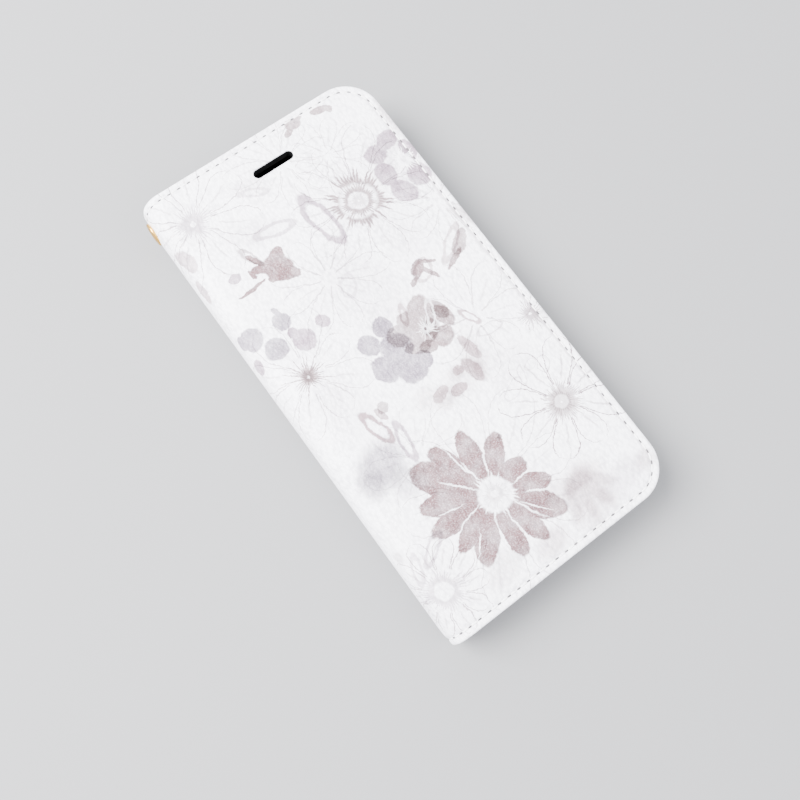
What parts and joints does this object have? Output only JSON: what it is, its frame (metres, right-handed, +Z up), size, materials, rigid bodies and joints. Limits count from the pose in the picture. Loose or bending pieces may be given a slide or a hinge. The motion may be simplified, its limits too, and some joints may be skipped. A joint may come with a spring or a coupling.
{
  "type": "phone case",
  "caption": "Book-type case that holds a small phone in a hard tray between padded, stitched leatherette covers, with wallet pockets and an eyelet for a strap.",
  "frame": {"origin": "under the middle of the closed case, on the surface it lies on", "axes": "+X from the spine to the free edge, +Y to the top of the phone, +Z up through the layers to the front cover"},
  "size_m": [0.0746, 0.1454, 0.0162],
  "materials": {
    "printed_leatherette": "satin, fine grain, pale floral print",
    "lining_leatherette": "satin, fine grain",
    "greyboard": "matt card",
    "foam": "matt",
    "plated_steel": "satin",
    "thread": "satin",
    "gold_metal": "polished",
    "tray_plastic": "satin",
    "adhesive": "matt"
  },
  "bodies": {
    "back_cover": {"back_skin": "printed_leatherette", "back_board": "greyboard", "back_lining": "lining_leatherette", "back_keeper_plates": "plated_steel", "back_stitching": "thread", "tray_adhesive": "adhesive", "phone_tray": "tray_plastic"},
    "spine": {"spine_skin": "printed_leatherette", "spine_strip": "greyboard", "spine_lining": "lining_leatherette", "eyelet": "gold_metal", "eyelet_washer": "gold_metal", "front_crease_skin": "printed_leatherette", "front_crease_lining": "lining_leatherette", "back_crease_skin": "printed_leatherette", "back_crease_lining": "lining_leatherette"},
    "front_cover": {"front_skin": "printed_leatherette", "front_foam": "foam", "front_board": "greyboard", "front_lining": "lining_leatherette", "bill_pocket": "lining_leatherette", "card_pocket_1": "lining_leatherette", "card_pocket_2": "lining_leatherette", "card_pocket_3": "lining_leatherette", "front_magnets": "plated_steel", "front_stitching": "thread", "pocket_stitching": "thread"}
  },
  "joints": [
    {"name": "spine_fold", "type": "hinge", "parent": "back_cover", "child": "spine", "pos_m": [-0.0345, 0, 0.0022], "axis": [0, -1, 0], "range_deg": [0, 90], "deforming": ["back_crease_skin", "back_crease_lining"]},
    {"name": "cover_fold", "type": "hinge", "parent": "spine", "child": "front_cover", "pos_m": [-0.0345, 0, 0.014], "axis": [0, -1, 0], "range_deg": [0, 90], "deforming": ["front_crease_skin", "front_crease_lining"]}
  ]
}
